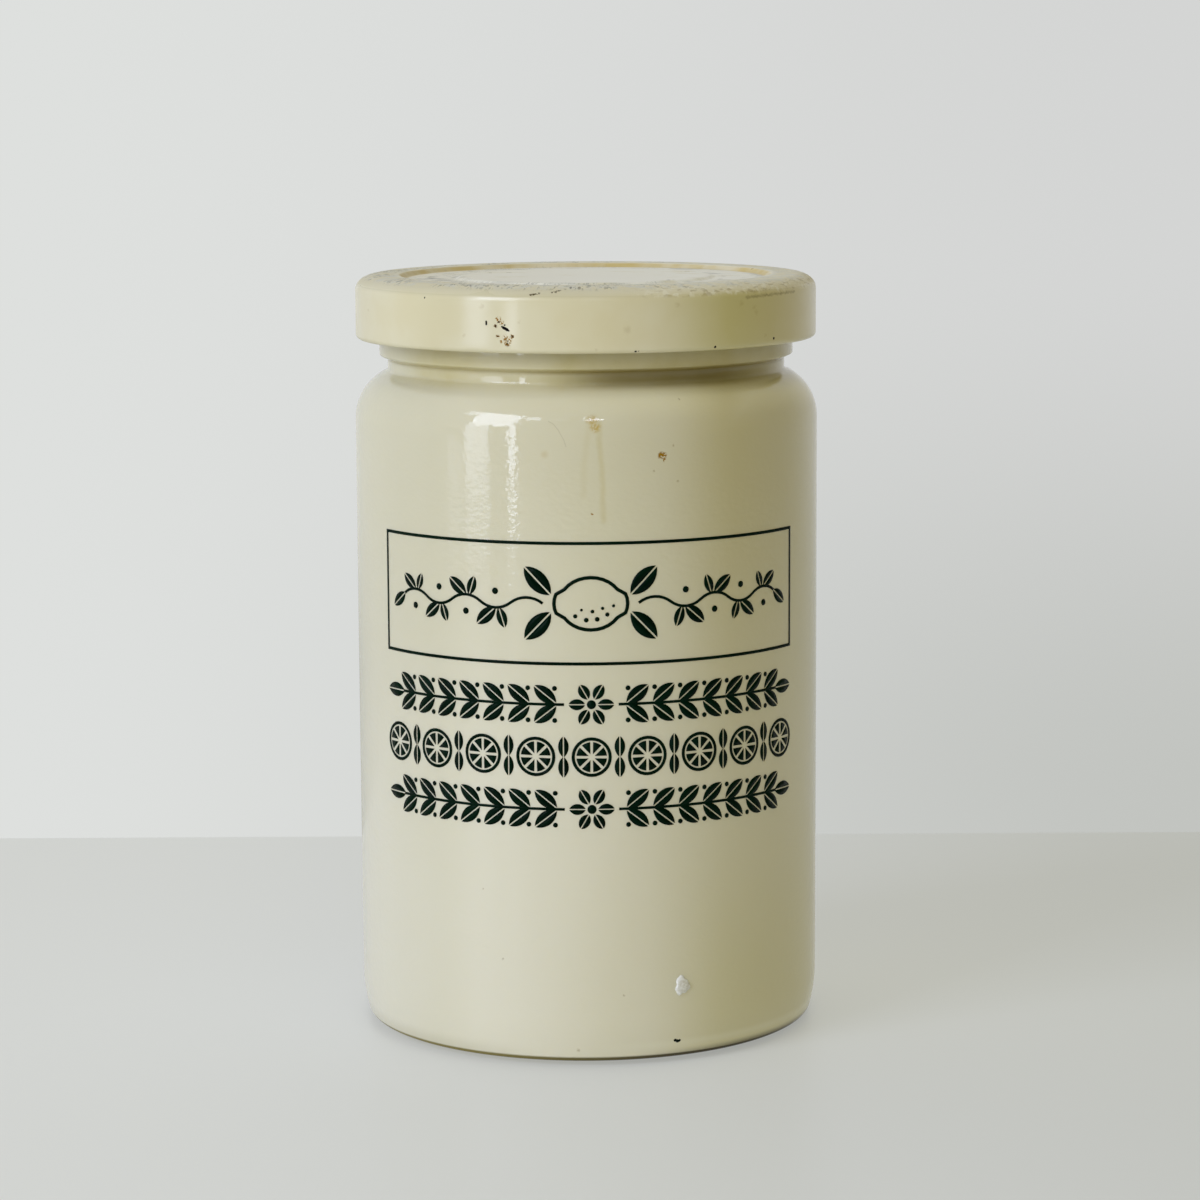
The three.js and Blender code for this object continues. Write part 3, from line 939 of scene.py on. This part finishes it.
class Print:
    """Marks stamped side by side on one flat sheet."""

    def __init__(self):
        self.bm = bmesh.new()

    def stamp(self, mark, x, z, turn=0, flip=1):
        """A copy of a mark at (x, z), turned from along to up, and left for right where flip is -1."""
        mesh = bpy.data.meshes.new("mark")
        mark.to_mesh(mesh)
        placed = Matrix.Translation((x, 0, z)) @ Matrix.Rotation(-radians(turn), 4, "Y")
        mesh.transform(placed @ Matrix.Diagonal((flip, 1, 1, 1)))
        self.bm.from_mesh(mesh)
        bpy.data.meshes.remove(mesh)

    def slice(self, x, z, radius):
        """A fruit slice: its rind and its segments."""
        self.stamp(leave_edge(dot_mark(radius), SLICE_RIND * radius), x, z)
        segment = segment_mark(SEGMENT_INNER * radius, SEGMENT_OUTER * radius, SEGMENT_SPREAD)
        for turn in range(0, 360, SEGMENT_TURN):
            self.stamp(segment, x, z, turn + SEGMENT_TURN / 2)

    def rosette(self, x, z, radius):
        """A flower of petals round a dot."""
        self.stamp(dot_mark(ROSETTE_EYE * radius), x, z)
        petal = leaf_mark(*[share * radius for share in PETAL_SHARES])
        foot = PETAL_FOOT * radius
        for turn in range(0, 360, PETAL_TURN):
            way = radians(turn)
            self.stamp(petal, x + foot * cos(way), z + foot * sin(way), turn)

    def lemon(self, x, z, length):
        """A lemon with its shaded side in dots."""
        self.stamp(lemon_mark(length, LEMON_LINE * length), x, z)
        for across, up, size in LEMON_DOTS:
            self.stamp(dot_mark(LEMON_DOT * length * size), x + across * length, z + up * length)

    def vine(self, x, z, waves, reach):
        """A wavy stem to the right of (x, z), with leaves and a berry at each crest after the first."""
        lean = radians(VINE_LEAN)
        rise = reach / 2 / sin(lean) * (1 - cos(lean))
        self.stamp(stem_mark(waves, reach, lean, VINE_LINE), x, z)
        for wave in range(1, waves):
            side = wave_side(wave)
            crest = x + reach * (wave + 0.5)
            size = (1 + VINE_SHRINK - VINE_SHRINK * wave) * MM
            for length, bulge, vein, shift, turn in VINE_LEAVES:
                leaf = leaf_mark(length * size, bulge * size, vein)
                self.stamp(leaf, crest + shift, z + side * rise, side * turn)
            self.stamp(dot_mark(VINE_BERRY), crest, z - side * VINE_BERRY_OFFSET)
        self.stamp(leaf_mark(*TIP_LEAF), x + reach * waves, z, wave_side(waves) * VINE_LEAN)

    def garland(self, x, z, pairs, pitch):
        """A straight stem to the right of (x, z) with paired leaves and berries."""
        leaf = leaf_mark(*GARLAND_LEAF)
        self.stamp(rule_mark(pitch * pairs, GARLAND_LINE), x, z)
        for pair in range(pairs):
            foot = x + pitch * (pair + 0.3)
            for side in (1, -1):
                self.stamp(leaf, foot, z + side * GARLAND_GAP, side * GARLAND_LEAN)
                self.stamp(dot_mark(GARLAND_BERRY), foot + GARLAND_GAP, z + side * GARLAND_BERRY_OFFSET)
        self.stamp(leaf, x + pitch * pairs - GARLAND_GAP, z)


def bend_round(bm, middle, lift):
    """Cuts flat marks into narrow strips and lays them round the jar, about that angle from the front."""
    count = int(PRINT_HALF / PRINT_STRIP)
    for strip in range(-count, count + 1):
        geometry = bm.verts[:] + bm.edges[:] + bm.faces[:]
        bmesh.ops.bisect_plane(bm, geom=geometry, plane_co=(strip * PRINT_STRIP, 0, 0), plane_no=(1, 0, 0))
    for vert in bm.verts:
        angle = middle + degrees(vert.co.x / BODY_RADIUS)
        vert.co = at_angle(angle, BODY_RADIUS + lift - vert.co.y, vert.co.z)
    bmesh.ops.remove_doubles(bm, verts=bm.verts, dist=MERGE)
    bmesh.ops.triangulate(bm, faces=bm.faces)
    bmesh.ops.dissolve_degenerate(bm, dist=MERGE, edges=bm.edges)
    bm.normal_update()


def face_forward(bm):
    """Turns the faces of flat marks towards the front."""
    bm.normal_update()
    bmesh.ops.reverse_faces(bm, faces=[face for face in bm.faces if face.normal.y > 0])


def label_print():
    """A ruled frame with a fruit sprig in it, and three rows of garlands and fruit slices below."""
    middle = (FRAME_LOW + FRAME_HIGH) / 2
    high, centre, low = ROW_HEIGHTS
    half = Print()
    for side in (1, -1):
        half.stamp(leaf_mark(*SPRIG_LEAF), SPRIG_ACROSS, middle + side * SPRIG_UP, side * SPRIG_LEAN)
    half.vine(VINE_START, middle, VINE_WAVES, VINE_REACH)
    for height in (high, low):
        half.garland(GARLAND_START, height, GARLAND_PAIRS, GARLAND_PITCH)
    for step in range(1, SLICES_A_SIDE + 1):
        half.slice(step * SLICE_PITCH * MM, centre, SLICE_RADIUS)
        for up in (90, -90):
            half.stamp(leaf_mark(*UPRIGHT_LEAF), (step * SLICE_PITCH - SLICE_PITCH / 2) * MM, centre, up)

    art = Print()
    frame_face = rule_mark(2 * PRINT_HALF, FRAME_HIGH - FRAME_LOW)
    art.stamp(leave_edge(frame_face, FRAME_LINE), -PRINT_HALF, middle)
    art.lemon(0, middle, LEMON_LENGTH)
    art.rosette(0, high, ROSETTE_RADIUS)
    art.slice(0, centre, SLICE_RADIUS)
    art.rosette(0, low, ROSETTE_RADIUS)
    art.stamp(half.bm, 0, 0)
    art.stamp(half.bm, 0, 0, flip=-1)
    face_forward(art.bm)
    bend_round(art.bm, PRINT_TURN, PRINT_LIFT)
    return art.bm


def residue_fleck():
    """A flake of something dried on, with an uneven edge, low on the front of the glass."""
    bm = dot_mark(FLAKE_RADIUS, FLAKE_WIDTH)
    for index, vert in enumerate(bm.verts):
        vert.co *= 1 + 0.14 * sin(index * 0.6 + 0.4) + 0.07 * sin(index * 1.4 + 1)
    face_forward(bm)
    grown = bmesh.ops.extrude_face_region(bm, geom=bm.faces[:])["geom"]
    raised = [part for part in grown if isinstance(part, bmesh.types.BMVert)]
    bmesh.ops.scale(bm, verts=raised, vec=FLAKE_TOP)
    bmesh.ops.translate(bm, verts=raised, vec=(0, -FLAKE_THICKNESS, 0))
    bmesh.ops.translate(bm, verts=bm.verts, vec=(0, 0, FLAKE_HEIGHT))
    bend_round(bm, FLAKE_TURN, 0)
    return bm


# Stage, light and camera

CAMERA_PLACE = (2.06 * MM, -590.4 * MM, 156.4 * MM)
CAMERA_PITCH = 8.49  # degrees down from level
CAMERA_ROLL = -0.306  # degrees
CAMERA_LENS = 109.77  # millimetres, for the sensor below
CAMERA_SENSOR = 36
FLOOR_BACK = 135 * MM
NEAR_REACH = 0.42  # half the side of a floor, in metres
FAR_REACH = 1.6
FAR_DROP = 0.05 * MM
FLOOR_GLOW = 0.6
GLOW_START = 29.5 * MM
GLOW_FULL = 33 * MM
FLOOR_PAINT = srgb(249, 250, 248)
FLOOR_LEFT = srgb(210, 212, 209)
FLOOR_RIGHT = srgb(188, 190, 185)
AIM = Vector((0, 0, 90 * MM))
PANE_DISTANCE = 1.5  # metres
PANE_COLOUR = (0.8, 0.86, 1.06)

# Panes of daylight: bearings left of the front and heights above level, in degrees, and brightness
PANES = (
    ("window_head", 61, 35, 17, 41, 7.5),
    ("window_left_strip", 61, 48, -6.6, 17, 3.7),
    ("window_left_middle", 61, 48, -7.6, -6.6, 1.8),
    ("window_left_foot", 61, 48, -8.6, -7.6, 0.8),
    ("window_right_strip", 38, 34, -6.6, 17, 6.6),
    ("window_right_middle", 38, 34, -7.6, -6.6, 1.8),
    ("window_right_foot", 38, 34, -8.6, -7.6, 0.8),
    ("window_far_strip", 71, 63, -7.6, -4, 1.1),
    ("high_light_left", 70, 63, 33, 40, 4),
    ("high_light_near", 32, 24, 31, 38, 5),
    ("high_light_front", 1, -10, 34, 36.5, 10),
    ("high_light_middle", 16, 10, 34, 37, 1.2),
)

# The room's own soft light: dim and blue towards the window, where the panes shine, warm round about it,
# dark away from it, and pale from the wall behind
WINDOW_WAY = Vector((-0.8, -0.1, 0.58)).normalized()
WINDOW_DIM = (0.12, 0.14, 0.26, 1)
WARM_GLOW = (0.8, 0.755, 0.43, 1)
SHADE = (0.12, 0.08, 0, 1)
PALE_WALL = (0.62, 0.62, 0.57, 1)

# What the camera and the gloss see: a wall behind the jar and a darker room in front of it
WALL_LEFT = srgb(222, 224, 222)
WALL_RIGHT_HIGH = srgb(212, 213, 212)
WALL_RIGHT_LOW = srgb(194, 196, 192)
ROOM = srgb(118, 110, 92)


def add_camera():
    data = bpy.data.cameras.new("camera")
    data.lens = CAMERA_LENS
    data.sensor_width = CAMERA_SENSOR
    camera = bpy.data.objects.new("camera", data)
    tilt = Matrix.Rotation(radians(90 - CAMERA_PITCH), 4, "X")
    roll = Matrix.Rotation(radians(CAMERA_ROLL), 4, "Z")
    camera.matrix_world = Matrix.Translation(CAMERA_PLACE) @ tilt @ roll
    bpy.context.scene.collection.objects.link(camera)
    bpy.context.scene.camera = camera


def floor_paint():
    """Pale paint with a glow that keeps its colour plain, but not under the jar, where it is dark."""
    look = Look("floor", Roughness=0.35, Base_Color=FLOOR_PAINT)
    # Painted light: the glow is paler at the left and darker at the right, as if lit from the window
    pale = look.mix(look.across(-100, 130), FLOOR_LEFT, FLOOR_RIGHT)
    glow = look.add("ShaderNodeEmission", {"Color": pale})
    clear = look.times(look.fade(look.radius, GLOW_START, GLOW_FULL), FLOOR_GLOW)
    layers = {0: clear, 1: look.shader.outputs[0], 2: glow.outputs[0]}
    surface = look.add("ShaderNodeMixShader", layers).outputs[0]
    look.put(look.tree.nodes["Material Output"].inputs["Surface"], surface)
    return look.material


def add_floor(name, material, reach, height, mirrored):
    """A square of floor that ends behind the jar, where the wall begins."""
    bm = bmesh.new()
    made = bmesh.ops.create_grid(bm, x_segments=1, y_segments=1, size=reach)["verts"]
    bmesh.ops.translate(bm, verts=made, vec=(0, FLOOR_BACK - reach, height))
    floor = add_mesh(name, bm, material)
    floor.visible_glossy = mirrored


def add_pane(name, left, right, low, high, brightness):
    """A flat soft lamp that fills those bearings and heights as seen from the jar, and faces it."""
    height = radians((low + high) / 2)
    turn = radians((left + right) / 2)
    level = cos(height)
    away = Vector((-sin(turn) * level, -cos(turn) * level, sin(height)))
    data = bpy.data.lights.new(name, "AREA")
    data.shape = "RECTANGLE"
    data.size = 2 * PANE_DISTANCE * tan(radians(left - right) / 2) * level
    data.size_y = 2 * PANE_DISTANCE * tan(radians(high - low) / 2)
    data.energy = brightness * pi * data.size * data.size_y
    data.color = PANE_COLOUR
    lamp = bpy.data.objects.new(name, data)
    facing = away.to_track_quat("Z", "Y").to_matrix().to_4x4()
    lamp.matrix_world = Matrix.Translation(AIM + away * PANE_DISTANCE) @ facing
    bpy.context.scene.collection.objects.link(lamp)


def add_world():
    """The wall that the camera sees, the room that gloss mirrors and the soft light from all round.

    The fades go by the parts of a ray's way, from -1 to 1.
    """
    world = bpy.data.worlds.new("world")
    world.use_nodes = True
    bpy.context.scene.world = world
    nodes = Nodes(world.node_tree)
    way = nodes.add("ShaderNodeTexCoord").outputs["Generated"]
    parts = nodes.add("ShaderNodeSeparateXYZ", {"Vector": way}).outputs
    wall_right = nodes.mix(nodes.fade(parts["Z"], -0.2, -0.05), WALL_RIGHT_LOW, WALL_RIGHT_HIGH)
    wall = nodes.mix(nodes.fade(parts["X"], -0.17, 0.17), WALL_LEFT, wall_right)
    behind = nodes.math("SUBTRACT", parts["Y"], nodes.times(parts["X"], 0.5))
    room = nodes.mix(nodes.fade(behind, -0.3, 0.6), ROOM, wall)
    mirrored = nodes.mix(nodes.fade(parts["Z"], -0.11, -0.17), room, FLOOR_RIGHT)
    windowward = nodes.vector("DOT_PRODUCT", way, tuple(WINDOW_WAY))
    warm = nodes.mix(nodes.fade(windowward, -0.3, 0.5), SHADE, WARM_GLOW)
    front = nodes.mix(nodes.fade(windowward, 0.25, 1), warm, WINDOW_DIM)
    soft = nodes.mix(nodes.fade(parts["Y"], 0.1, 0.6), front, PALE_WALL)
    path = nodes.add("ShaderNodeLightPath").outputs
    glossy = nodes.most(path["Is Glossy Ray"], path["Is Transmission Ray"])
    colour = nodes.mix(path["Is Camera Ray"], nodes.mix(glossy, soft, mirrored), wall)
    nodes.put(world.node_tree.nodes["Background"].inputs["Color"], colour)


# The object

add_camera()
pale_floor = floor_paint()
add_floor("near_floor", pale_floor, NEAR_REACH, 0, True)
add_floor("far_floor", pale_floor, FAR_REACH, -FAR_DROP, False)
for pane in PANES:
    add_pane(*pane)
add_world()

jar = add_piece("jar_glass", glass_profile().spun(JAR_STEPS), milk_glass(), "jar")
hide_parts("glass_jar")

label = add_piece("jar_print", label_print(), green_enamel(), "jar")
coat = label.modifiers.new("coat", "SOLIDIFY")
coat.thickness = PRINT_THICKNESS
coat.offset = 1

add_piece("jar_residue", residue_fleck(), dried_residue(), "jar")

cap = add_piece("cap_tin", cap_profile().spun(CAP_STEPS), cream_lacquer(), "lid")
sheet = cap.modifiers.new("tin", "SOLIDIFY")
sheet.thickness = TIN
sheet.offset = -1
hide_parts("tin_cap")

ring = add_piece("seal_ring", ring_profile().spun(RING_STEPS), grey_rubber(), "lid")
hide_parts("rubber_ring")

bpy.context.scene.view_settings.view_transform = "Standard"
